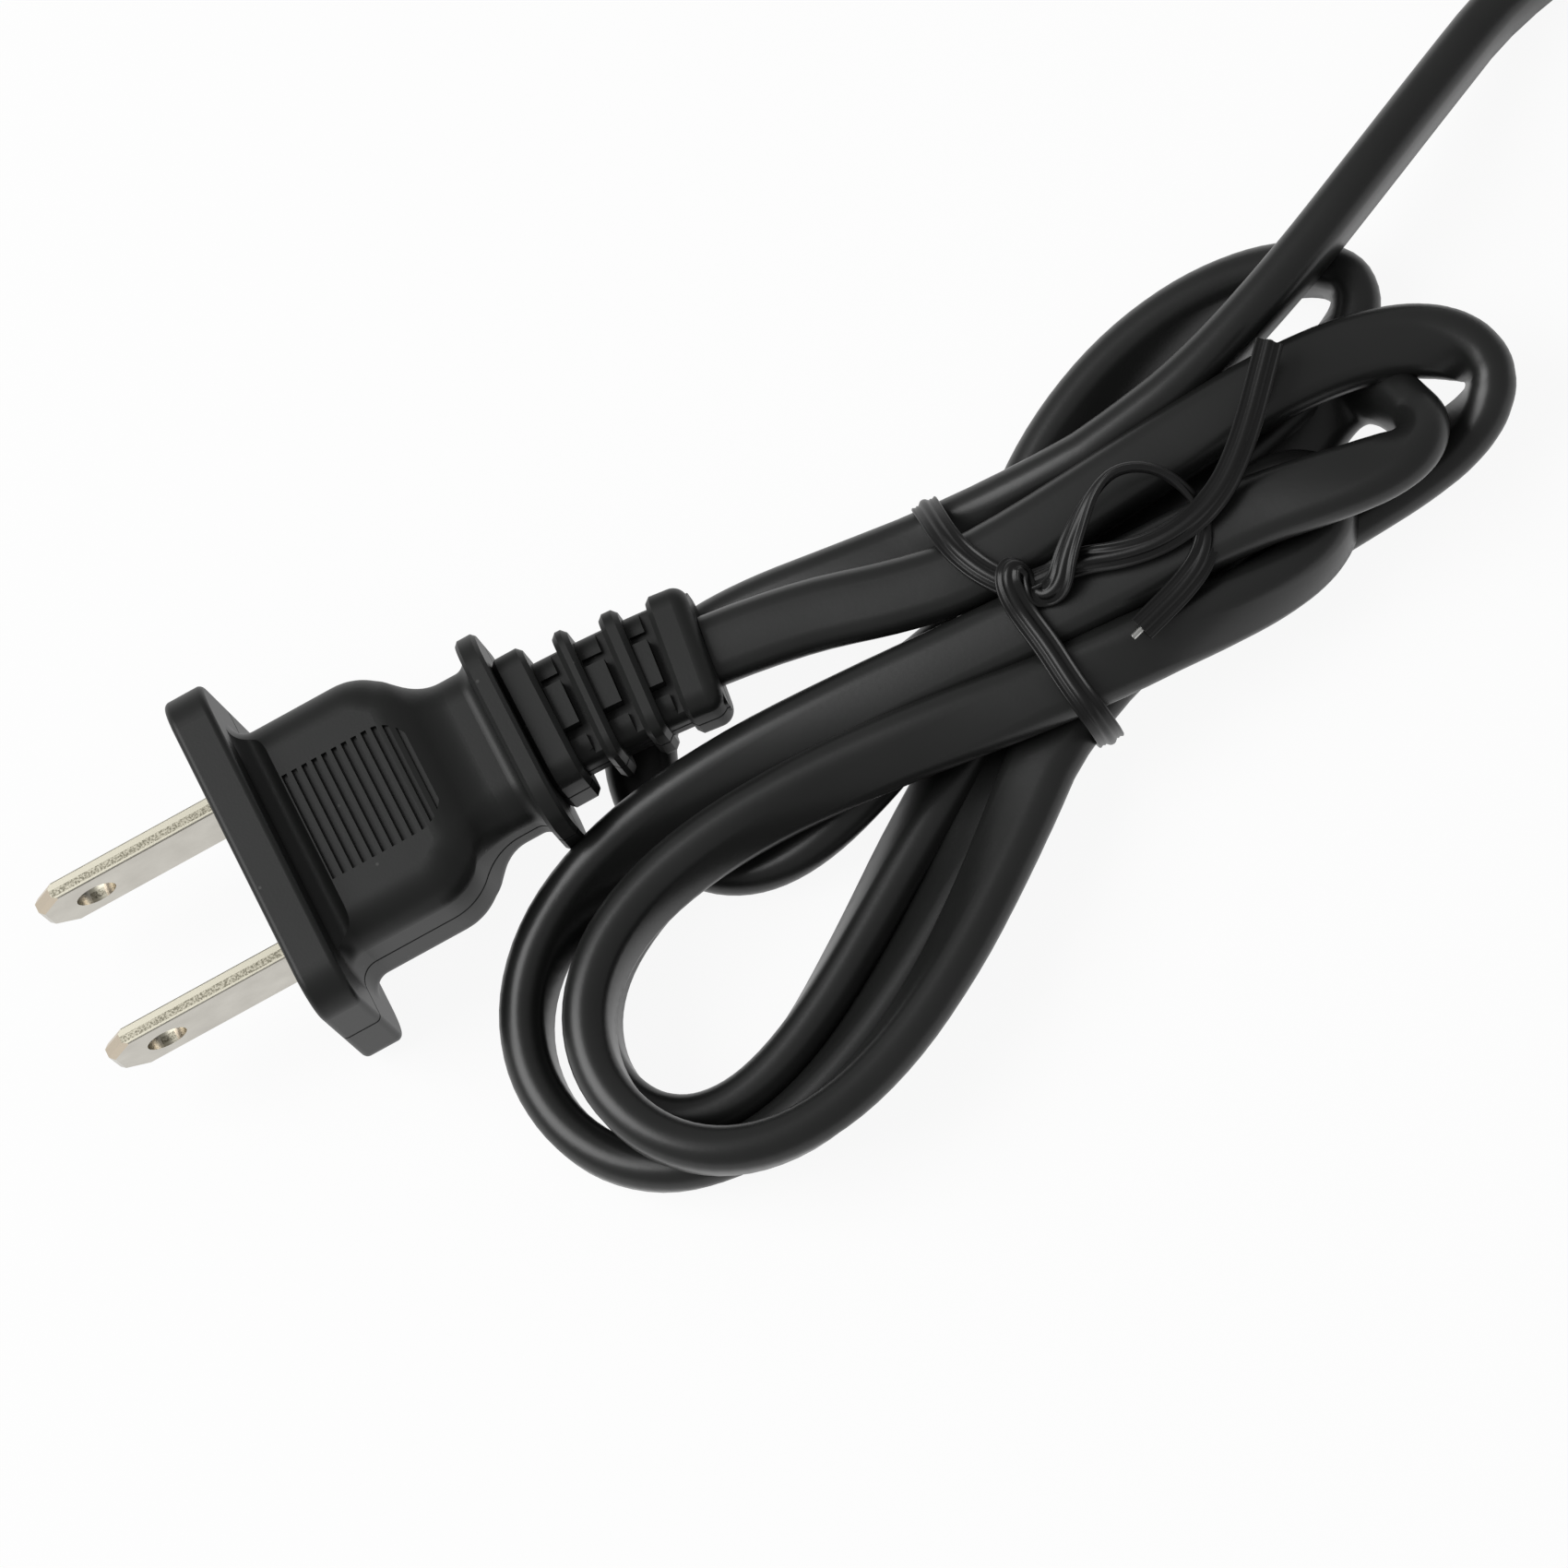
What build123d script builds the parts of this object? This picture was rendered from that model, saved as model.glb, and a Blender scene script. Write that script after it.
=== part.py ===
from build123d import *
import math
import os

# A mains lead: a flat two-blade plug, and its flat twin cord wound into a hank that a twist tie holds.
# Millimetres. The origin is the middle of the plug's front face. +X runs back along the plug towards its
# cord, +Y across the plug and +Z up. The plug's flange and the hank stand on the same floor.

# Flange round the plug's face
flange_width = 27.6
flange_height = 18.4
flange_depth = 3.3
flange_corner = 3.3
flange_round = 0.5
floor = -flange_height / 2

# Grip, neck and collar, with places measured back from the face
grip_width = 19.2
grip_height = 12.4
grip_corner = 3.0
grip_fillet = 1.5
grip_side_end = 11.5
grip_top_end = 13.4
neck_width = 13.0
neck_height = 8.8
neck_start = 18.6
neck_length = 2.4
collar_start = neck_start + neck_length
collar_depth = 1.7
collar_width = 16.8
collar_height = 11.6
collar_corner = 3.6
collar_fillet = 1.0
collar_bevel = 0.3
collar_end = collar_start + collar_depth

# Hollow across the grip behind the flange, and the ribbed panel for the fingers
hollow_depth = 0.6
hollow_radius = 1.2
hollow_gap = 0.95
panel_length = 10.0
panel_width = 9.0
panel_corner = 2.6
panel_front = 5.2
groove_count = 12
groove_width = 0.44
groove_depth = 0.4

# Strain relief: a ribbed tail that follows a slow bend to one side
bend_radius = 117.0
relief_length = 14.8
relief_width = 9.2
relief_height = 4.8
relief_corner = 1.6
rib_spans = [(0, 2.6), (4.7, 5.95), (8.25, 9.8), (11.7, relief_length)]
rib_wide = 11.4
rib_narrow = 10.1
rib_tall = 8.4
rib_low = 7.2
rib_corner = 1.7
rib_bevel = 0.4
relief_end_round = 1.2
web_width = 3.6
web_height = 6.2
pocket_width = 0.8
pocket_depth = 0.5
slot_length = 0.7

# Blades and what is moulded in behind them
blade_spacing = 12.7
blade_width = 6.35
blade_thickness = 1.4
blade_reach = 16.0
blade_tip_cut = 1.6
blade_tip_bevel = 0.35
blade_edge_round = 0.15
blade_hole = 3.2
blade_hole_place = 11.7
blade_root = 7.4
holder_front = 1.4
holder_wall = 1.3
holder_corner = 1.5
tail_width = 3.0
tail_length = 1.6
barrel_radius = 1.35
barrel_overlap = 0.4
barrel_length = 3.8

# Cord
cord_width = 5.6
cord_thickness = 3.5
core_spacing = 2.4
core_radius = 1.05
wire_radius = 0.55
sheath_inset = 0.2
core_bend = 2.2
core_straight = 0.8
sheath_lead_in = 2.4
lead_straight = 6.5
bare_core = 16.0
bare_wire = 7.0
core_spread = 0.2
core_spread_place = 5.0
core_spread_bend = 6.0

# Hank and twist tie
tie_place = 58.3
tie_slant = 12.0
tie_width = 2.4
tie_thickness = 0.8
tie_wire_size = 0.5
tie_wire_bare = 0.8
waist_middle = -8.8
waist_width = 21.6
waist_height = 10.9
waist_corner = 4.2
waist_length = 9.0
waist_overlap = 0.4
knot_start = 0.4
knot_length = 4.0
knot_width = 2.2
knot_thickness = 1.5
knot_twist = 180.0
tail_bend = 2.5
waist_bottom = floor + tie_thickness
waist_top = waist_bottom + waist_height
lobe_round = 1.0

# Part of a straight run that a corner of the cord may take, and the reach of a search for edges
corner_share = 0.45
tiny = 0.01

os.makedirs("parts", exist_ok=True)


def across(x):
    # The plane square to the plug's axis, with its own X along Y and its own Y along Z
    return Plane((x, 0, 0), x_dir=(0, 1, 0), z_dir=(1, 0, 0))


def along_bend(s):
    # The same plane carried a length s along the strain relief's bend
    turn = s / bend_radius
    place = (collar_end + bend_radius * math.sin(turn), -bend_radius * (1 - math.cos(turn)), 0)
    return Plane(place, x_dir=(math.sin(turn), math.cos(turn), 0), z_dir=(math.cos(turn), -math.sin(turn), 0))


def waisted(half_grip, half_neck, narrowing):
    # Outline of the grip and neck from above or from the side, with an S-bend of two arcs between them
    middle = ((narrowing + neck_start) / 2, (half_grip + half_neck) / 2)
    shoulder = TangentArc((narrowing, half_grip), middle, tangent=(1, 0))
    waist = TangentArc(middle, (neck_start, half_neck), tangent=shoulder % 1)
    side = [Line((flange_depth, half_grip), (narrowing, half_grip)), shoulder, waist,
            Line((neck_start, half_neck), (collar_start, half_neck))]
    ends = [Line((flange_depth, -half_grip), (flange_depth, half_grip)),
            Line((collar_start, -half_neck), (collar_start, half_neck))]
    return make_face(side + [mirror(line, Plane.XZ) for line in side] + ends)


def edges_at(solid, x, width, height):
    # Edges that lie wholly in the plane at x, within a width and a height
    found = solid.edges().filter_by_position(Axis.X, x - tiny, x + tiny)
    found = [e for e in found if abs(e.center().Y) < width / 2 + tiny]
    return [e for e in found if abs(e.center().Z) < height / 2 + tiny]


def rib(plane, width, height, depth, back_round):
    # A slab with its front rim bevelled, and its back rim bevelled too or rounded
    axis = Axis(plane.origin, plane.z_dir)
    slab = extrude(plane * RectangleRounded(width, height, rib_corner), depth)
    slab = chamfer(slab.faces().filter_by(axis).sort_by(axis)[0].edges(), rib_bevel)
    back_rim = slab.faces().filter_by(axis).sort_by(axis)[-1].edges()
    return fillet(back_rim, back_round) if back_round else chamfer(back_rim, rib_bevel)


def cord_path(points):
    # Straight runs with a tangent arc at every corner
    radii = []
    for before, here, after in zip(points, points[1:], points[2:]):
        first = Vector(*here) - Vector(*before)
        second = Vector(*after) - Vector(*here)
        half_turn = math.radians(first.get_angle(second)) / 2
        radii.append(corner_share * min(first.length, second.length) / math.tan(half_turn))
    print("cord bend radii", [round(r, 1) for r in radii])
    if len(points) == 3:
        return FilletPolyline(*points, radius=radii[0])
    return FilletPolyline(*points, radius=radii)


def cord_tube(points):
    path = cord_path(points)
    start = Plane(path @ 0, x_dir=Vector(0, 0, 1).cross(path % 0), z_dir=path % 0)
    tube = sweep(start * SlotOverall(cord_width, cord_thickness), path)
    plain_volume = SlotOverall(cord_width, cord_thickness).area * path.length
    print("cord tube length", round(path.length, 1), "volume share", round(tube.volume / plain_volume, 3))
    return tube


def round_block(circles, low, high):
    # A block over the hull of some circles, between two heights
    rims = [Pos(x, y) * Circle(r) for x, y, r in circles]
    outline = make_hull([e for rim in rims for e in rim.edges()])
    return Pos(0, 0, low) * extrude(outline, high - low)


def save(shape, name):
    export_step(shape, "parts/" + name + ".step")
    print(name, round(shape.volume, 1))


# Moulded body, from the flange back to the collar
flange = extrude(across(0) * RectangleRounded(flange_width, flange_height, flange_corner), flange_depth)
flange = fillet(flange.faces().filter_by(Axis.X).edges(), flange_round)
from_above = waisted(grip_width / 2, neck_width / 2, grip_side_end)
from_side = Rot(90, 0, 0) * waisted(grip_height / 2, neck_height / 2, grip_top_end)
grip = extrude(from_above, grip_height / 2, both=True) & extrude(from_side, grip_width / 2, both=True)
grip = fillet([e for e in grip.edges() if e.bounding_box().size.X > tiny], grip_corner)
collar_section = across(collar_start) * RectangleRounded(collar_width, collar_height, collar_corner)
collar = extrude(collar_section, collar_depth)
collar = chamfer(collar.faces().filter_by(Axis.X).edges(), collar_bevel)
body = flange + grip + collar
body = fillet(edges_at(body, flange_depth, grip_width, grip_height), grip_fillet)
body = fillet(edges_at(body, collar_start, neck_width, neck_height), collar_fillet)

# Hollow behind the flange and finger grooves, the same above and below
hollow_outline = Pos(hollow_gap, 0) * Circle(hollow_radius)
hollow_outline += Pos(hollow_gap, 0) * Rectangle(2 * hollow_radius, grip_height, align=(Align.CENTER, Align.MIN))
hollow_outline &= Rectangle(grip_height, 4 * grip_height, align=(Align.MIN, Align.CENTER))
hollow_height = grip_height / 2 - hollow_depth + hollow_radius
hollow_place = Plane((flange_depth, 0, hollow_height), x_dir=(1, 0, 0), z_dir=(0, -1, 0))
cuts = [extrude(hollow_place * hollow_outline, flange_width, both=True)]
panel = Pos(panel_front + panel_length / 2, 0) * RectangleRounded(panel_length, panel_width, panel_corner)
panel += Pos(panel_front, 0) * Rectangle(panel_length / 2, panel_width, align=(Align.MIN, Align.CENTER))
for i in range(groove_count):
    place = panel_front + panel_length * (i + 0.5) / groove_count
    slot = panel & (Pos(place, 0) * Rectangle(groove_width, panel_width))
    cuts.append(Pos(0, 0, grip_height / 2 - groove_depth) * extrude(slot, grip_height))
for cut in cuts:
    body -= cut
    body -= mirror(cut, Plane.XY)

# Strain relief on its bend: a core, three ribs and a longer end block. In each gap a taller web stands in the
# middle between two pockets, and stops short of the next rib at a slot.
bend = JernArc((collar_end, 0, 0), (1, 0, 0), bend_radius, -math.degrees(relief_length / bend_radius))
relief = sweep(across(collar_end) * RectangleRounded(relief_width, relief_height, relief_corner), bend)
for (_, gap_start), (gap_end, _) in zip(rib_spans, rib_spans[1:]):
    gap = gap_end - gap_start
    middle = along_bend(gap_start + gap / 2)
    relief += middle * Box(web_width, web_height, gap)
    for level in (-1, 1):
        height = level * (relief_height - pocket_depth) / 2
        for side in (-1, 1):
            offset = side * (web_width + pocket_width) / 2
            relief -= middle * Pos(offset, height, 0) * Box(pocket_width, pocket_depth, gap)
        slot_depth = pocket_depth + (web_height - relief_height) / 2
        height = level * (web_height - slot_depth) / 2
        slot = Box(2 * relief_width, slot_depth, slot_length)
        relief -= along_bend(gap_end - slot_length / 2) * (Pos(0, height, 0) * slot)
for i, (start, end) in enumerate(rib_spans):
    share = i / (len(rib_spans) - 1)
    width = rib_wide + (rib_narrow - rib_wide) * share
    height = rib_tall + (rib_low - rib_tall) * share
    last = end == relief_length
    plane = along_bend(end).offset(start - end) if last else along_bend(start)
    relief += rib(plane, width, height, end - start, relief_end_round if last else 0)
body += relief


# Blade with its hole, crimped tail and barrel, drawn for the +Y side
def blade_at(side):
    outline = Rectangle(blade_reach + blade_root, blade_width, align=(Align.MIN, Align.CENTER))
    outline = Pos(-blade_reach, 0) * outline
    outline = chamfer(outline.vertices().group_by(Axis.X)[0], blade_tip_cut)
    plane = Plane((0, side * blade_spacing / 2, 0), x_dir=(1, 0, 0), z_dir=(0, -1, 0))
    blade = extrude(plane * outline, blade_thickness / 2, both=True)
    tip = [e for e in blade.edges() if e.bounding_box().max.X < blade_tip_cut - blade_reach + tiny
           and e.bounding_box().size.Y < tiny]
    blade = chamfer(tip, blade_tip_bevel)
    long_edges = blade.edges().filter_by(Axis.X).filter_by(lambda e: e.length > blade_reach)
    blade = fillet(long_edges, blade_edge_round)
    hole = extrude(plane * Pos(-blade_hole_place, 0) * Circle(blade_hole / 2), blade_thickness, both=True)
    tail = Box(tail_length, blade_thickness, tail_width, align=(Align.MIN, Align.CENTER, Align.CENTER))
    tail = Pos(blade_root, side * blade_spacing / 2, 0) * tail
    barrel_plane = across(blade_root + tail_length - barrel_overlap)
    barrel = extrude(barrel_plane * Pos(side * blade_spacing / 2, 0) * Circle(barrel_radius), barrel_length)
    return blade - hole + tail + barrel


def plug_core_route(side):
    # The conductor runs straight out of its barrel, slants in to the cord and enters the sheath square
    y = side * blade_spacing / 2
    inner = side * core_spacing / 2
    start = blade_root + tail_length
    barrel_end = start - barrel_overlap + barrel_length
    slant_start = barrel_end + core_straight
    slant_end = sheath_front - sheath_lead_in
    return FilletPolyline((start, y, 0), (slant_start, y, 0), (slant_end, inner, 0), (sheath_front, inner, 0),
                          radius=core_bend), barrel_end


def bare_part(core, start):
    # Insulation begins where the barrel ends
    return core - Box(2 * start, 4 * blade_spacing, 4 * blade_spacing)


sheath_front = collar_start - sheath_inset
sheath_path = Wire([Line((sheath_front, 0, 0), (collar_end, 0, 0)), bend.edge()])
sheath_end = sweep(across(sheath_front) * SlotOverall(cord_width, cord_thickness), sheath_path)
holder_width = blade_spacing + blade_thickness + 2 * holder_wall
holder_height = blade_width + 2 * holder_wall
holder_section = across(holder_front) * RectangleRounded(holder_width, holder_height, holder_corner)
blade_holder = extrude(holder_section, blade_root - holder_front - holder_wall)
body -= sheath_end
body -= blade_holder
for name, side in (("left", 1), ("right", -1)):
    blade = blade_at(side)
    route, barrel_end = plug_core_route(side)
    core_face = across(blade_root + tail_length) * Pos(side * blade_spacing / 2, 0)
    wire = sweep(core_face * Circle(wire_radius), route)
    insulation = bare_part(sweep(core_face * Circle(core_radius), route), barrel_end) - wire
    blade -= wire
    blade_holder -= blade
    body = body - blade - wire - insulation
    save(blade, "blade_" + name)
    save(wire, "wire_" + name)
    save(insulation, "insulation_" + name)
save(body, "plug_body")
save(blade_holder, "blade_holder")
save(sheath_end, "sheath_end")

# Hank: the waist under the tie, two tiers of turns on each side and the low loop under the strain relief.
# Its circles are placed from the middle of the waist.
tier = floor + cord_width
eye = round_block([(-34.8, -14.7, 5.6), (-26.3, -11.5, 4.4), (-13.8, -7, 0.8)], floor, waist_top)
left_low = round_block([(-37.3, -14.2, 12.7), (-24.3, -13.2, 8.5), (-6.3, -5.2, 6)], floor, tier)
left_top = tier + cord_width
left_high = round_block([(-33.7, -18.8, 11.2), (-22.3, -14.7, 10.3), (-6.3, -7.4, 7.4)], tier, left_top)
left = left_low + left_high - eye
left = fillet(left.faces().sort_by(Axis.Z)[-1].outer_wire().edges(), lobe_round)
low_loop = round_block([(-22.3, 2.3, 13), (-4.3, 4.3, 6)], floor, floor + cord_thickness)
low_loop -= round_block([(-22.3, 2.3, 7.4), (-10.3, 3.8, 1.5)], floor, floor + cord_thickness)
right_low = round_block([(17.7, 10.3, 6.9), (30.2, 11.4, 6.4), (34.2, 0.6, 6.4), (22.7, -3.7, 5.8),
                         (3.7, 0, 10)], floor, tier)
right_high = round_block([(22.7, 9.8, 3.6), (35.7, 0, 5.6), (23.7, -4.5, 4.6), (3.7, 0, 10)], tier, waist_top)
right = right_low + right_high
right = fillet(right.faces().sort_by(Axis.Z)[-1].outer_wire().edges(), lobe_round)
middle_height = (waist_bottom + waist_top) / 2
waist_section = across(-waist_length / 2) * Pos(0, middle_height)
waist = extrude(waist_section * RectangleRounded(waist_width, waist_height, waist_corner), waist_length)
tie_room = Box(waist_length - 2 * waist_overlap, 4 * waist_width, 4 * waist_height)
hank = Pos(tie_place, waist_middle, 0) * (left + low_loop + right - tie_room + waist)
save(hank, "hank")

# Cord between the plug and the hank, and from the hank out to its stripped end
lead_start = along_bend(relief_length)
lead_turn = lead_start.origin + lead_start.z_dir * lead_straight
plug_lead = cord_tube([tuple(lead_start.origin), tuple(lead_turn), (58, -5.9, 0)]) - hank
save(plug_lead, "plug_lead")
lying = floor + cord_thickness / 2
free_points = [(79.5, 0.2, -0.7), (88.3, 3.3, -0.4), (96.4, 7.1, -0.9), (104.4, 11.5, -3.2),
               (114.5, 17, -6.2), (134.5, 19.4, -6.4), (151.5, 11.1, -7.1), (162.2, -4.7, lying),
               (163.3, -21.6, lying)]
free_end = cord_tube(free_points) - hank
save(free_end, "free_end")

# Stripped cores, a little spread, with bare wire at their tips
tip = Vector(*free_points[-1])
ahead = (tip - Vector(*free_points[-2])).normalized()
beside = Vector(0, 0, 1).cross(ahead)
for name, side in (("left", 1), ("right", -1)):
    start = tip + beside * (side * core_spacing / 2)
    turn = start + ahead * core_spread_place
    spread = (ahead + beside * (side * core_spread)).normalized()
    end = turn + spread * (bare_core - core_spread_place)
    bare_end = end + spread * bare_wire
    core_route = FilletPolyline(tuple(start), tuple(turn), tuple(end), radius=core_spread_bend)
    wire_route = FilletPolyline(tuple(start), tuple(turn), tuple(bare_end), radius=core_spread_bend)
    face = Plane(start, x_dir=beside, z_dir=ahead)
    tail_wire = sweep(face * Circle(wire_radius), wire_route)
    tail_insulation = sweep(face * Circle(core_radius), core_route) - tail_wire
    save(tail_wire, "tail_wire_" + name)
    save(tail_insulation, "tail_insulation_" + name)

# Twist tie: a slanted band, two loose tails and the knot, with a wire all through it.
# Its own places are measured from the middle of the waist too.
def band(inside, depth, width):
    # A ring that follows the waist at a distance, cut to a slanted strip
    outside = inside + depth
    outer = RectangleRounded(waist_width + 2 * outside, waist_height + 2 * outside, waist_corner + outside)
    inner = RectangleRounded(waist_width + 2 * inside, waist_height + 2 * inside, waist_corner + inside)
    ring = extrude(waist_section * (outer - inner), waist_length)
    return ring & (Rot(0, 0, tie_slant) * Box(width, 4 * waist_width, 4 * waist_height))


def tail(points, level, inside, depth, width, extra):
    # A flat strip along its route, a number of strip thicknesses above the waist
    last = Vector(*points[-1])
    last += (last - Vector(*points[-2])).normalized() * extra
    route = FilletPolyline(*points[:-1], (last.X, last.Y), radius=tail_bend)
    low = waist_top + level * tie_thickness + inside
    return Pos(0, 0, low) * extrude(trace(route, width), depth)


hook = [(0, 0), (7.2, 3.2), (13.7, 5.2), (17.3, -1.4), (13.5, -5.8), (7.5, -7.1)]
straight = [(0, 0), (10.2, -2.6), (19.2, -1.1), (26.1, 6.6)]
knot_height = waist_top + tie_thickness + knot_thickness / 2
knot_sections = []
for i in range(5):
    plane = across(knot_start + knot_length * i / 4) * Pos(0, knot_height)
    knot_sections.append(plane * Rot(0, 0, knot_twist * i / 4) * Rectangle(knot_width, knot_thickness))
strip = band(0, tie_thickness, tie_width)
strip += tail(hook, 0, 0, tie_thickness, tie_width, 0)
strip += tail(straight, 1, 0, tie_thickness, tie_width, 0)
strip += loft(knot_sections)
wire_in = (tie_thickness - tie_wire_size) / 2
tie_wire = band(wire_in, tie_wire_size, tie_wire_size)
tie_wire += tail(hook, 0, wire_in, tie_wire_size, tie_wire_size, tie_wire_bare)
tie_wire += tail(straight, 1, wire_in, tie_wire_size, tie_wire_size, tie_wire_bare)
riser = Box(tie_wire_size, tie_wire_size, tie_thickness, align=(Align.CENTER, Align.CENTER, Align.MIN))
tie_wire += Pos(0, 0, waist_top + tie_thickness / 2) * riser
strip -= tie_wire
save(Pos(tie_place, waist_middle, 0) * strip, "twist_tie")
save(Pos(tie_place, waist_middle, 0) * tie_wire, "tie_wire")
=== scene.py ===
import math

import bpy
from mathutils import Matrix, Vector


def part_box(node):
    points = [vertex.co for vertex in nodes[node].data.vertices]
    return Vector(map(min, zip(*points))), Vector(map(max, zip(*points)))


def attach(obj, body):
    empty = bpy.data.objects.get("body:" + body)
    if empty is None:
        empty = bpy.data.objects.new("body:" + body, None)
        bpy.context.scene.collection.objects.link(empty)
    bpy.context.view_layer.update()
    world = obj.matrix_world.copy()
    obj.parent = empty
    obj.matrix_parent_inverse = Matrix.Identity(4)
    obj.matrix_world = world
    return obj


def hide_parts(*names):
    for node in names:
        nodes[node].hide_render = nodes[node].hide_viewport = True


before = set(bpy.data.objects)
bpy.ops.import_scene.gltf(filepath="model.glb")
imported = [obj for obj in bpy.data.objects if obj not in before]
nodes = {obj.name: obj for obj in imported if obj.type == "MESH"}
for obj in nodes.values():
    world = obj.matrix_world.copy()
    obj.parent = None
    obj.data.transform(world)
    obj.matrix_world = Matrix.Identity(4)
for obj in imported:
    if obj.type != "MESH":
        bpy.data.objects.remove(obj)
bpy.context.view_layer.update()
mm = 0.001
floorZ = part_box("plug_body")[0].z  # the flange stands on the floor
print("frame loaded, floor at", round(floorZ / mm, 2), "mm")


# helpers for nodes and meshes

def newMaterial(name):
    mat = bpy.data.materials.new(name)
    mat.use_nodes = True
    mat.node_tree.nodes.clear()
    return mat


def feed(owner, socket, value):
    # a socket takes another node's output, a colour or a plain number
    if isinstance(value, bpy.types.NodeSocket):
        owner.node_tree.links.new(value, socket)
    elif isinstance(value, tuple):
        socket.default_value = (*value, 1)
    else:
        socket.default_value = value


def node(owner, kind, feeds, **settings):
    made = owner.node_tree.nodes.new("ShaderNode" + kind)
    for key, value in settings.items():
        setattr(made, key, value)
    for socket, value in feeds.items():
        feed(owner, made.inputs[socket], value)
    return made


def maths(owner, operation, first, second=0):
    return node(owner, "Math", {0: first, 1: second}, operation=operation).outputs[0]


def mixColour(owner, share, first, second):
    return node(owner, "MixRGB", {0: share, 1: first, 2: second}).outputs[0]


def noise(owner, place, scale, detail):
    return node(owner, "TexNoise", {"Vector": place, "Scale": scale, "Detail": detail}).outputs[0]


def rampNode(owner, source, stops):
    ramp = node(owner, "ValToRGB", {0: source})
    elements = ramp.color_ramp.elements
    while len(elements) < len(stops):
        elements.new(0.5)  # put in its place below
    for element, (place, colour) in zip(elements, stops):
        element.position = place
        element.color = (*colour, 1)
    return ramp.outputs[0]


def bumpNode(owner, height, strength, depth, **settings):
    return node(owner, "Bump", {"Height": height, "Strength": strength, "Distance": depth}, **settings)


def meshPiece(name, verts, faces, mat):
    mesh = bpy.data.meshes.new(name)
    mesh.from_pydata([tuple(v) for v in verts], [], faces)
    mesh.update()
    for poly in mesh.polygons:
        poly.use_smooth = True
    obj = bpy.data.objects.new(name, mesh)
    bpy.context.scene.collection.objects.link(obj)
    mesh.materials.append(mat)
    return obj


# camera, solved on the blades and the plug's straight edges

camera = {
    "place": (59.57 * mm, -166.29 * mm, 469.41 * mm),
    "right": (0.87605, -0.44478, -0.18629),
    "up": (0.48019, 0.84008, 0.25236),
    "lens": 154.0,
    "sensor": 36,
    "nearest": 0.01,
    "farthest": 20,
}


def addCamera(facts):
    data = bpy.data.cameras.new("camera")
    data.lens = facts["lens"]
    data.sensor_width = facts["sensor"]
    data.clip_start = facts["nearest"]
    data.clip_end = facts["farthest"]
    obj = bpy.data.objects.new("camera", data)
    bpy.context.scene.collection.objects.link(obj)
    right = Vector(facts["right"]).normalized()
    back = right.cross(Vector(facts["up"])).normalized()
    up = back.cross(right)
    turn = Matrix((right, up, back)).transposed()
    obj.matrix_world = Matrix.Translation(facts["place"]) @ turn.to_4x4()
    bpy.context.scene.camera = obj


addCamera(camera)
print("camera set")


# vinyl and metal finishes

vinyl = {
    "cloudScale": 90,
    "cloudDetail": 6,
    "cloudSpan": (0.3, 0.75),  # from dark to light
    "grainDetail": 3,
    "grainStrength": 0.05,
    "grainDepth": 0.1 * mm,
}


def vinylMaterial(name, dark, light, rough, shine, grain):
    mat = newMaterial(name)
    place = node(mat, "TexCoord", {}).outputs["Object"]
    cloud = noise(mat, place, vinyl["cloudScale"], vinyl["cloudDetail"])
    low, high = vinyl["cloudSpan"]
    base = rampNode(mat, cloud, [(low, dark), (high, light)])
    fine = noise(mat, place, grain, vinyl["grainDetail"])
    bump = bumpNode(mat, fine, vinyl["grainStrength"], vinyl["grainDepth"])
    skin = node(mat, "BsdfPrincipled", {"Base Color": base, "Roughness": rough, "Specular IOR Level": shine,
                                        "Normal": bump.outputs[0]})
    node(mat, "OutputMaterial", {"Surface": skin.outputs[0]})
    return mat


metal = {
    "cloudScale": 400,
    "cloudDetail": 5,
    "cloudSpan": (0.3, 0.7),  # from dark to light
}


def metalMaterial(name, dark, light, rough):
    mat = newMaterial(name)
    place = node(mat, "TexCoord", {}).outputs["Object"]
    cloud = noise(mat, place, metal["cloudScale"], metal["cloudDetail"])
    low, high = metal["cloudSpan"]
    base = rampNode(mat, cloud, [(low, dark), (high, light)])
    skin = node(mat, "BsdfPrincipled", {"Base Color": base, "Metallic": 1, "Roughness": rough})
    node(mat, "OutputMaterial", {"Surface": skin.outputs[0]})
    return mat


def skinOf(mat):
    return next(n for n in mat.node_tree.nodes if n.type == "BSDF_PRINCIPLED")


def fedBy(skin, name):
    return skin.inputs[name].links[0].from_socket


strand = {
    "rough": 0.32,
    "layScale": 900,
    "layWaver": 0.6,
    "layStrength": 0.7,
    "layDepth": 0.1 * mm,
}


def strandMaterial(name, dark, light):
    # fine strands laid side by side along the core
    mat = metalMaterial(name, dark, light, strand["rough"])
    place = node(mat, "TexCoord", {}).outputs["Object"]
    feeds = {"Vector": place, "Scale": strand["layScale"], "Distortion": strand["layWaver"]}
    lay = node(mat, "TexWave", feeds, bands_direction="DIAGONAL")
    bump = bumpNode(mat, lay.outputs[1], strand["layStrength"], strand["layDepth"])
    feed(mat, skinOf(mat).inputs["Normal"], bump.outputs[0])
    return mat


plugFinish = {
    "vinyl": dict(dark=(0.009, 0.0095, 0.009), light=(0.013, 0.0135, 0.013), rough=0.44, shine=0.31,
                  grain=5000),
    "seamHalf": 0.14 * mm,  # half of the parting line's width
    "seamStart": 0.2 * mm,  # behind the face, so that none runs across it
    "seamColour": (0.003, 0.003, 0.003),
    "seamStrength": 0.9,
    "seamDepth": 0.2 * mm,
    "seamDull": 0.5,
    "speckScale": 420,
    "speckSize": 0.055,
    "speckShare": 0.6,
    "speckColour": (0.07, 0.07, 0.068),
}


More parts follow.
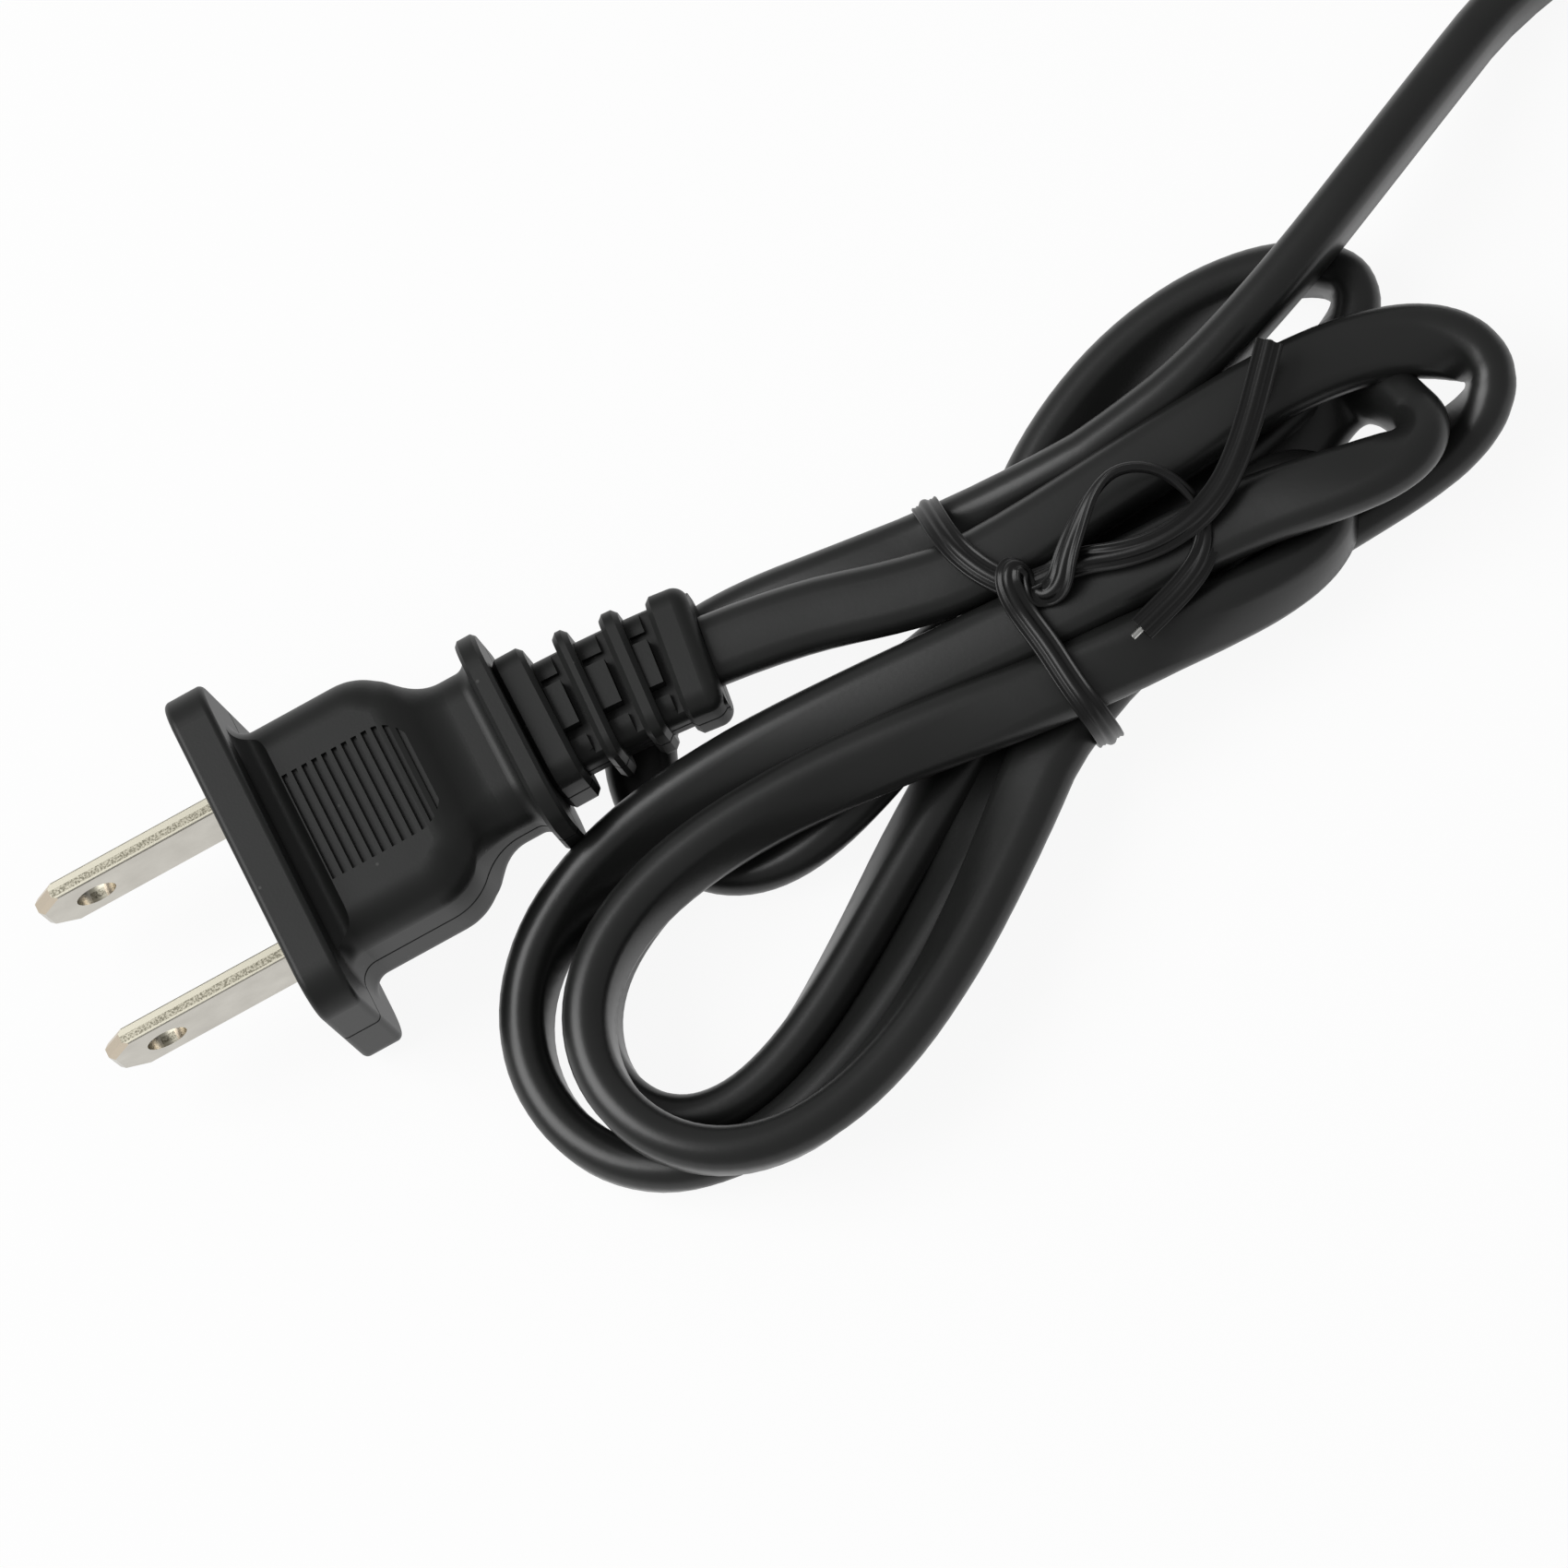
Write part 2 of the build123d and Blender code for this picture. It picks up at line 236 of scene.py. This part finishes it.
def plugMaterial(name, facts):
    # satin vinyl with the moulding's parting line at half height and a few pale specks
    mat = vinylMaterial(name, **facts["vinyl"])
    skin = skinOf(mat)
    place = node(mat, "TexCoord", {}).outputs["Object"]
    axes = node(mat, "SeparateXYZ", {0: place}).outputs
    halfWay = maths(mat, "LESS_THAN", maths(mat, "ABSOLUTE", axes[2]), facts["seamHalf"])
    behind = maths(mat, "GREATER_THAN", axes[0], facts["seamStart"])
    seam = maths(mat, "MULTIPLY", halfWay, behind)
    cells = node(mat, "TexVoronoi", {"Vector": place, "Scale": facts["speckScale"]})
    speck = maths(mat, "LESS_THAN", cells.outputs["Distance"], facts["speckSize"])
    dust = maths(mat, "MULTIPLY", speck, facts["speckShare"])
    dusty = mixColour(mat, dust, fedBy(skin, "Base Color"), facts["speckColour"])
    feed(mat, skin.inputs["Base Color"], mixColour(mat, seam, dusty, facts["seamColour"]))
    groove = bumpNode(mat, seam, facts["seamStrength"], facts["seamDepth"], invert=True)
    feed(mat, groove.inputs["Normal"], fedBy(skin, "Normal"))
    feed(mat, skin.inputs["Normal"], groove.outputs[0])
    dull = maths(mat, "MULTIPLY", seam, facts["seamDull"])
    feed(mat, skin.inputs["Roughness"], maths(mat, "ADD", dull, facts["vinyl"]["rough"]))
    return mat


bladeFinish = {
    "plate": dict(dark=(0.51, 0.485, 0.43), light=(0.6, 0.575, 0.515), rough=0.3),
    "middle": 6.35 * mm,  # from the plug's middle to a blade's
    "edgeFacing": 0.9,  # how far up or down an edge faces
    "edgeColour": (0.46, 0.44, 0.365),
    "edgeDull": 0.16,
    "bandOffset": 0.16 * mm,
    "bandHalf": 0.28 * mm,
    "tipFacing": 0.3,  # how far ahead, and up or down, a cut tip faces
    "tipColour": (0.62, 0.54, 0.43),
    "fleckScale": 7000,
    "fleckDetail": 3,
    "fleckColours": [(0.4, (0.16, 0.15, 0.115)), (0.55, (0.36, 0.34, 0.275)), (0.65, (0.42, 0.4, 0.33))],
    "fleckStrength": 0.15,
    "fleckDepth": 0.05 * mm,
}


def bladeMaterial(name, facts):
    # nickel plate, with a rough band along the stamped edges and brass showing at the cut tips
    mat = metalMaterial(name, **facts["plate"])
    skin = skinOf(mat)
    place = node(mat, "TexCoord", {}).outputs["Object"]
    across = node(mat, "SeparateXYZ", {0: place}).outputs[1]
    normal = node(mat, "NewGeometry", {}).outputs["Normal"]
    facing = node(mat, "SeparateXYZ", {0: normal}).outputs
    steep = maths(mat, "ABSOLUTE", facing[2])
    edge = maths(mat, "GREATER_THAN", steep, facts["edgeFacing"])
    centre = maths(mat, "MULTIPLY", maths(mat, "SIGN", across), facts["middle"])
    aside = maths(mat, "ADD", maths(mat, "SUBTRACT", across, centre), facts["bandOffset"])
    torn = maths(mat, "LESS_THAN", maths(mat, "ABSOLUTE", aside), facts["bandHalf"])
    band = maths(mat, "MULTIPLY", edge, torn)
    ahead = maths(mat, "LESS_THAN", facing[0], -facts["tipFacing"])
    tip = maths(mat, "MULTIPLY", maths(mat, "GREATER_THAN", steep, facts["tipFacing"]), ahead)
    flecks = noise(mat, place, facts["fleckScale"], facts["fleckDetail"])
    stamped = mixColour(mat, band, facts["edgeColour"], rampNode(mat, flecks, facts["fleckColours"]))
    edged = mixColour(mat, edge, fedBy(skin, "Base Color"), stamped)
    feed(mat, skin.inputs["Base Color"], mixColour(mat, tip, edged, facts["tipColour"]))
    rough = maths(mat, "MULTIPLY", flecks, band)
    bump = bumpNode(mat, rough, facts["fleckStrength"], facts["fleckDepth"])
    feed(mat, skin.inputs["Normal"], bump.outputs[0])
    dull = maths(mat, "MULTIPLY", edge, facts["edgeDull"])
    feed(mat, skin.inputs["Roughness"], maths(mat, "ADD", dull, facts["plate"]["rough"]))
    return mat


print("finishes ready")


# cord

cord = {
    "width": 5.6 * mm,
    "thickness": 3.5 * mm,
    "tieX": 58.3,  # in millimetres, like the places below
    # the plug's lead and the free end
    "lead": [(37.465, -0.935, 0), (43.91, -1.75, 0), (52, -4.4, 0.1)],
    "free": [(65.4, -1.5, -2.6), (72, -1, -1.6), (79.5, 0.2, -0.7), (88.3, 3.3, -0.4), (96.4, 7.1, -0.9),
             (104.4, 11.5, -3.2), (114.5, 17, -6.2), (134.5, 19.4, -6.4), (151.5, 11.1, -7.1),
             (162.2, -4.7, -7.45), (163.3, -21.6, -7.45)],
    "freeRolls": [40, 80, 90, 90, 90, 90, 90, 75, 15, 0, 0],
    # where each crossing lies under the tie: across and up
    "slots": {"lead": (-5.7, 0.35), "top1": (-11.2, 0.35), "top2": (-16.4, 0.2),
              "free": (-1.2, -3.3), "mid1": (-8.5, -3.3), "mid2": (-17, -3.3),
              "low1": (-7, -6.5), "low2": (-10.5, -6.5), "low3": (-14.5, -6.5)},
    # each half turn from slot to slot: its heading and reach, how wide it opens on its way out and back,
    # how it leans and rounds off, how it rises on its way out and dips on its way back, the height and roll
    # at its tip, and how late it rolls on its way out and back
    "loops": [
        dict(ends=("lead", "low3"), heading=4.6, reach=39.6, breadth=(4, 4), bow=-2.7, blunt=0.5,
             fold=(2.5, 2.5), tipZ=-3.2, roll=80, late=(5, 5)),
        dict(ends=("low3", "top1"), heading=195.2, reach=49.1, breadth=(22.4, 22.4), bow=0.1, blunt=0.93,
             fold=(0, 0), tipZ=-6.35, roll=90, late=(0.5, 2)),
        dict(ends=("top1", "mid2"), heading=4.2, reach=33.4, breadth=(-7.5, -15.5), bow=0.7, blunt=0.41,
             fold=(4.9, 7.5), tipZ=-2, roll=-76, late=(2.3, 2.6)),
        dict(ends=("mid2", "top2"), heading=196.2, reach=44.1, breadth=(21.6, 21.6), bow=-0.2, blunt=1,
             fold=(0, 0), tipZ=-0.6, roll=90, late=(0.7, 0.7)),
        dict(ends=("top2", "low2"), heading=1.4, reach=25.2, breadth=(-5, -5), bow=0.8, blunt=0.67,
             fold=(0, 0), tipZ=-3.9, roll=90, late=(0.5, 1)),
        dict(ends=("low2", "low1"), heading=199.7, reach=45.7, breadth=(14.9, 14.9), bow=2.3, blunt=0.72,
             fold=(0, 0), tipZ=-6.35, roll=90, late=(0.5, 0.5)),
        dict(ends=("low1", "mid1"), heading=33, reach=34.7, breadth=(12.3, 11), bow=-9.2, blunt=1.3,
             fold=(0, 0), tipZ=-6.35, roll=90, late=(0.5, 6)),
        dict(ends=("mid1", "free"), heading=185.4, reach=30.5, breadth=(13.2, 13.2), bow=-0.1, blunt=0.76,
             fold=(0, 0), tipZ=-7.4, roll=0, late=(1, 1)),
    ],
    "loopPoints": 14,
    "curveSteps": 5,
    "sectionSteps": 24,
    "steepShare": 0.5,  # a stretch that is less level than this counts as steep
}


def loopPoint(facts, loop, t):
    (y0, z0), (y1, z1) = (facts["slots"][name] for name in loop["ends"])
    ahead = math.radians(loop["heading"])
    lift = math.sin(math.pi * t)
    sway = math.sin(2 * math.pi * t) / 2
    out = loop["reach"] * lift ** loop["blunt"]
    way = 0 if t <= 0.5 else 1  # out or back
    side = loop["breadth"][way] * sway + loop["bow"] * lift ** 2
    x = facts["tieX"] + math.cos(ahead) * out - math.sin(ahead) * side
    y = y0 + (y1 - y0) * t + math.sin(ahead) * out + math.cos(ahead) * side
    base = z0 + (z1 - z0) * t
    z = base + (loop["tipZ"] - base) * lift ** 2 + loop["fold"][way] * sway
    late = loop["late"][0] + (loop["late"][1] - loop["late"][0]) * t
    return (x, y, z), loop["roll"] * lift ** late


def cordRoute(facts):
    points = list(facts["lead"])
    rolls = [0] * len(points)
    count = facts["loopPoints"]
    for loop in facts["loops"]:
        for i in range(count):
            place, roll = loopPoint(facts, loop, i / count)
            points.append(place)
            rolls.append(roll)
    points.append((facts["tieX"], *facts["slots"]["free"]))
    rolls.append(0)
    points += facts["free"]
    rolls += facts["freeRolls"]
    return [Vector(p) * mm for p in points], rolls


def smoothLine(name, points, resolution):
    # points read from a smooth spline on the route
    curve = bpy.data.curves.new(name, "CURVE")
    curve.dimensions = "3D"
    curve.resolution_u = resolution
    spline = curve.splines.new("NURBS")
    spline.points.add(len(points) - 1)
    for point, place in zip(spline.points, points):
        point.co = (*place, 1)
    spline.order_u = 3
    spline.use_endpoint_u = True
    holder = bpy.data.objects.new(name, curve)
    bpy.context.scene.collection.objects.link(holder)
    mesh = bpy.data.meshes.new_from_object(holder.evaluated_get(bpy.context.evaluated_depsgraph_get()))
    line = [v.co.copy() for v in mesh.vertices]
    bpy.data.objects.remove(holder)
    bpy.data.meshes.remove(mesh)
    return line


def spread(values, count):
    # a short list stretched evenly over a longer one
    made = []
    for i in range(count):
        place = i * (len(values) - 1) / (count - 1)
        low = min(int(place), len(values) - 2)
        made.append(values[low] + (values[low + 1] - values[low]) * (place - low))
    return made


def tangentAt(line, i):
    return (line[min(i + 1, len(line) - 1)] - line[max(i - 1, 0)]).normalized()


def lineFrames(line, rolls, steepShare):
    # across and up at every point, rolled about the line; on a steep stretch the last across is carried on
    frames = []
    flat = None
    for i, place in enumerate(line):
        tangent = tangentAt(line, i)
        level = Vector((0, 0, 1)).cross(tangent)
        steep = level.length < steepShare
        if flat and (steep or level.dot(flat) < 0):
            level = flat - tangent * flat.dot(tangent) if steep else -level
        flat = level.normalized()
        up = tangent.cross(flat)
        turn = math.radians(rolls[i])
        frames.append((place, flat * math.cos(turn) + up * math.sin(turn),
                       up * math.cos(turn) - flat * math.sin(turn)))
    return frames


def flatOval(width, thickness, steps):
    # half round edges with a flat between them
    points = []
    radius = thickness / 2
    for i in range(steps):
        angle = 2 * math.pi * i / steps
        x = math.cos(angle) * radius + math.copysign((width - thickness) / 2, math.cos(angle))
        points.append((x, math.sin(angle) * radius))
    return points


endRingShare = 0.02  # how far a second ring lies from an end, of the way to the next one


def endRing(ring, other):
    place, across, up = ring
    return place.lerp(other[0], endRingShare), across, up


def sweepPiece(name, frames, outline, mat):
    # a second ring close to each end keeps the shading of the ends off the sides
    second = endRing(frames[0], frames[1])
    secondLast = endRing(frames[-1], frames[-2])
    frames = [frames[0], second, *frames[1:-1], secondLast, frames[-1]]
    verts, faces = [], []
    steps = len(outline)
    for place, across, up in frames:
        verts += [place + across * x + up * y for x, y in outline]
    for i in range(len(frames) - 1):
        for j in range(steps):
            k = (j + 1) % steps
            faces.append((i * steps + j, i * steps + k, (i + 1) * steps + k, (i + 1) * steps + j))
    faces.append(tuple(reversed(range(steps))))
    faces.append(tuple(range((len(frames) - 1) * steps, len(frames) * steps)))
    obj = meshPiece(name, verts, faces, mat)
    for end in obj.data.polygons[-2:]:
        end.use_smooth = False
    layer = obj.data.uv_layers.new(name="route")
    travelled = [0.0]
    for a, b in zip(frames, frames[1:]):
        travelled.append(travelled[-1] + (b[0] - a[0]).length)
    for poly in obj.data.polygons:
        for corner in poly.loop_indices:
            vert = obj.data.loops[corner].vertex_index
            layer.data[corner].uv = ((vert % steps) / steps, travelled[vert // steps])
    return obj


cordVinyl = vinylMaterial("cordVinyl", dark=(0.01, 0.0104, 0.01), light=(0.015, 0.0154, 0.015), rough=0.34,
                          shine=0.46, grain=3000)
cordPoints, cordRolls = cordRoute(cord)
cordLine = smoothLine("cordRoute", cordPoints, cord["curveSteps"])
cordFrames = lineFrames(cordLine, spread(cordRolls, len(cordLine)), cord["steepShare"])
cordOutline = flatOval(cord["width"], cord["thickness"], cord["sectionSteps"])
cordPiece = sweepPiece("cord", cordFrames, cordOutline, cordVinyl)
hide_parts("plug_lead", "hank", "free_end")
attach(cordPiece, "root")


# twist tie: one ridged strip from tail to tail, with a steel wire inside

tie = {
    "wireSize": 0.5,  # in millimetres, like the sizes and places below
    "bareWire": (0.9, 0.1),  # past the first tail's end and the second's
    # half of the strip's upper side, from its edge in to the wire: across and up
    "ridges": [(1.05, 0.1), (1.0, 0.2), (0.9, 0.23), (0.8, 0.17), (0.68, 0.14), (0.57, 0.21), (0.46, 0.15),
               (0.36, 0.24), (0.24, 0.36), (0.1, 0.42)],
    # places along the strip and the way that its upper side faces there
    "tailOne": [((66.2, -16.4, 2.7), (-0.2, -0.3, 0.9)), ((68.1, -15.8, 2.6), (-0.1, -0.3, 0.95)),
                ((70.3, -15.1, 2.6), (0.1, -0.3, 0.95)), ((72.4, -14.1, 2.7), (0.4, -0.4, 0.85)),
                ((73.8, -12.6, 2.8), (0.7, -0.3, 0.6)), ((74.4, -10.5, 3.2), (0.9, 0.1, 0.3)),
                ((73.7, -8.3, 4.4), (0.85, 0.5, 0.2)), ((72.4, -6.6, 5.4), (0.6, 0.8, 0.25)),
                ((70.3, -5.7, 5.8), (0.1, 0.95, 0.3)), ((68.2, -6.1, 5.5), (-0.3, 0.75, 0.55)),
                ((66.0, -7.5, 4.9), (-0.4, 0.4, 0.8)), ((63.9, -9.2, 4.3), (-0.4, 0.1, 0.9)),
                ((62.6, -10.6, 3.6), (-0.3, -0.3, 0.9)), ((61.4, -10.8, 3.1), (0.1, -0.7, 0.7))],
    "fold": [((60.7, -10.0, 2.9), (0.8, 0, 0.5)), ((60.9, -8.7, 3.1), (0.9, 0.3, 0.3)),
             ((60.7, -7.9, 3.6), (0.7, 0.6, 0.6)), ((60.0, -7.7, 4.0), (0, 0.5, 0.9)),
             ((59.3, -8.5, 3.9), (-0.3, 0, 0.95)), ((59.1, -9.8, 3.3), (-0.1, -0.1, 1))],
    "band": [((59.2, -11.3, 2.7), (0, 0, 1)), ((59.6, -14, 2.6), (0, 0, 1)),
             ((59.8, -17.2, 2.5), (0, -0.1, 1)), ((60.1, -19.4, 2.1), (0, -0.5, 0.85)),
             ((60.3, -20.7, 0.6), (0, -0.9, 0.4)), ((60.4, -21, -1.5), (0, -1, 0)),
             ((60.4, -20.6, -4.5), (0, -1, -0.15)), ((60.2, -19, -7.5), (0, -0.8, -0.6)),
             ((59.8, -16.2, -8.7), (0, 0, -1)), ((58.5, -8, -8.7), (0, 0, -1)),
             ((57.4, -1.4, -8.7), (0, 0, -1)), ((56.9, 1.3, -7.4), (0, 0.8, -0.6)),
             ((56.6, 2.2, -4.4), (0, 1, 0)), ((56.6, 1.9, -1.8), (0, 0.95, 0.3)),
             ((56.7, 0.2, 0.2), (0, 0.75, 0.65)), ((56.8, -2.1, 1.7), (0, 0.5, 0.85)),
             ((57.1, -4.2, 2.4), (0, 0.1, 1)), ((57.9, -6.3, 2.6), (0, 0, 1))],
    "under": [((58.8, -7.8, 2.6), (0.1, 0, 1)), ((59.6, -8.7, 2.6), (0, 0.1, 1)),
              ((60.9, -9.2, 2.9), (0, 0.5, 0.85))],
    "tailTwo": [((62.8, -9.4, 3.1), (0, 0.6, 0.8)), ((64.9, -9.8, 3.3), (0, -0.2, 1)),
                ((67.5, -11.0, 3.7), (0.1, -0.5, 0.85)), ((70.4, -11.7, 4.0), (0, -0.6, 0.8)),
                ((73.7, -11.4, 4.1), (-0.1, -0.6, 0.8)), ((76.3, -10.3, 4.0), (-0.1, -0.3, 0.95)),
                ((78.5, -8.6, 3.9), (0, -0.2, 1)), ((80.7, -6.4, 3.8), (0.1, -0.2, 1)),
                ((82.6, -4.3, 3.8), (0.1, -0.2, 1)), ((84.6, -2.1, 3.9), (0.1, -0.2, 1))],
    "curveSteps": 6,
    "wireSteps": 10,
}


def stripFrames(line, facings):
    # across and up at every point, with up turned towards the way that the strip faces
    frames = []
    for i, place in enumerate(line):
        tangent = tangentAt(line, i)
        across = tangent.cross(facings[i]).normalized()
        frames.append((place, across, across.cross(tangent)))
    return frames


def stripOutline(ridges):
    upper = ridges + [(-x, y) for x, y in reversed(ridges)]
    return [(x * mm, y * mm) for x, y in upper] + [(-x * mm, -y * mm) for x, y in upper]


def roundOutline(radius, steps):
    turns = [2 * math.pi * i / steps for i in range(steps)]
    return [(radius * math.cos(turn), radius * math.sin(turn)) for turn in turns]


tieVinyl = vinylMaterial("tieVinyl", dark=(0.005, 0.005, 0.005), light=(0.009, 0.009, 0.009), rough=0.35,
                         shine=0.34, grain=3000)
tieSteel = metalMaterial("tieSteel", dark=(0.5, 0.5, 0.48), light=(0.66, 0.66, 0.64), rough=0.3)
tieStops = tie["tailOne"] + tie["fold"] + tie["band"] + tie["under"] + tie["tailTwo"]
tieLine = smoothLine("tieRoute", [Vector(place) * mm for place, _ in tieStops], tie["curveSteps"])
tieFacings = spread([Vector(facing) for _, facing in tieStops], len(tieLine))
tieFrames = stripFrames(tieLine, tieFacings)
tiePiece = sweepPiece("twistTie", tieFrames, stripOutline(tie["ridges"]), tieVinyl)
wireEnds = [tieLine[0] + (tieLine[0] - tieLine[1]).normalized() * tie["bareWire"][0] * mm,
            tieLine[-1] + (tieLine[-1] - tieLine[-2]).normalized() * tie["bareWire"][1] * mm]
wireFrames = [(wireEnds[0], *tieFrames[0][1:])] + tieFrames + [(wireEnds[1], *tieFrames[-1][1:])]
wireOutline = roundOutline(tie["wireSize"] / 2 * mm, tie["wireSteps"])
tieWire = sweepPiece("tieWire", wireFrames, wireOutline, tieSteel)
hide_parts("twist_tie")
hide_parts("tie_wire")
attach(tiePiece, "root")
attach(tieWire, "root")
print("twist tie wound")


# finishes of the pieces that come straight from the solids

finishes = {
    "plug_body": plugMaterial("plugVinyl", plugFinish),
    "blade_holder": vinylMaterial("holderPlastic", dark=(0.03, 0.03, 0.03), light=(0.05, 0.05, 0.05),
                                  rough=0.5, shine=0.4, grain=2500),
    "blade_left": bladeMaterial("bladeNickel", bladeFinish),
    "wire_left": strandMaterial("bareCopper", dark=(0.45, 0.2, 0.1), light=(0.72, 0.4, 0.24)),
    "insulation_left": vinylMaterial("brownVinyl", dark=(0.1, 0.036, 0.012), light=(0.16, 0.06, 0.02),
                                     rough=0.3, shine=0.5, grain=3500),
    "insulation_right": vinylMaterial("blueVinyl", dark=(0.02, 0.09, 0.34), light=(0.03, 0.12, 0.42),
                                      rough=0.3, shine=0.5, grain=3500),
    "tail_wire_left": strandMaterial("tinnedCopper", dark=(0.4, 0.39, 0.37), light=(0.7, 0.69, 0.66)),
    "sheath_end": cordVinyl,
}
sameFinish = {"blade_right": "blade_left", "wire_right": "wire_left", "tail_wire_right": "tail_wire_left",
              "tail_insulation_left": "insulation_left", "tail_insulation_right": "insulation_right"}
for name, other in sameFinish.items():
    finishes[name] = finishes[other]
for name, mat in finishes.items():
    nodes[name].data.materials.clear()
    nodes[name].data.materials.append(mat)
print("finishes set")


# floor and light

stage = {
    "groundSize": 3.0,
    "groundDrop": 0.02 * mm,  # keeps the ground clear of the flange's underside
    "groundColour": (0.82, 0.82, 0.82),
    "groundWhite": 0.92,  # share of plain white that the camera and reflections see
    "skyLevel": 0.35,
    "keyPlace": (-0.45, 0.2, 0.65),
    "keyAim": (0.04, -0.01, 0),
    "keySize": 0.6,
    "keyPower": 6.2,
}


def whiteToView(mat, lit, level):
    # what the camera and reflections see is lifted to plain white, and the light itself stays as it is
    path = node(mat, "LightPath", {}).outputs
    seen = maths(mat, "MAXIMUM", path["Is Camera Ray"], path["Is Glossy Ray"])
    through = maths(mat, "MAXIMUM", seen, path["Is Transmission Ray"])
    share = maths(mat, "MULTIPLY", through, level)
    white = node(mat, "Emission", {"Strength": 1})
    return node(mat, "MixShader", {0: share, 1: lit, 2: white.outputs[0]}).outputs[0]


def addGround(facts):
    mat = newMaterial("paleGround")
    matt = node(mat, "BsdfDiffuse", {"Color": facts["groundColour"]})
    white = whiteToView(mat, matt.outputs[0], facts["groundWhite"])
    node(mat, "OutputMaterial", {"Surface": white})
    size = facts["groundSize"]
    level = floorZ - facts["groundDrop"]
    corners = [(-size, -size, level), (size, -size, level), (size, size, level), (-size, size, level)]
    meshPiece("ground", corners, [(0, 1, 2, 3)], mat)


def addSky(facts):
    # plain white to the camera, and dimmer to what it lights
    world = bpy.data.worlds.new("sky")
    world.use_nodes = True
    world.node_tree.nodes.clear()
    toCamera = node(world, "LightPath", {}).outputs["Is Camera Ray"]
    dim = node(world, "Background", {"Color": (1, 1, 1), "Strength": facts["skyLevel"]})
    white = node(world, "Background", {"Color": (1, 1, 1), "Strength": 1})
    mix = node(world, "MixShader", {0: toCamera, 1: dim.outputs[0], 2: white.outputs[0]})
    node(world, "OutputWorld", {"Surface": mix.outputs[0]})
    bpy.context.scene.world = world


def addKeyLight(facts):
    data = bpy.data.lights.new("key", "AREA")
    data.size = facts["keySize"]
    data.energy = facts["keyPower"]
    obj = bpy.data.objects.new("key", data)
    obj.location = facts["keyPlace"]
    obj.rotation_mode = "QUATERNION"
    obj.rotation_quaternion = (Vector(facts["keyAim"]) - obj.location).to_track_quat("-Z", "Y")
    bpy.context.scene.collection.objects.link(obj)


addGround(stage)
addSky(stage)
addKeyLight(stage)
bpy.context.scene.view_settings.view_transform = "Standard"
print("stage lit")
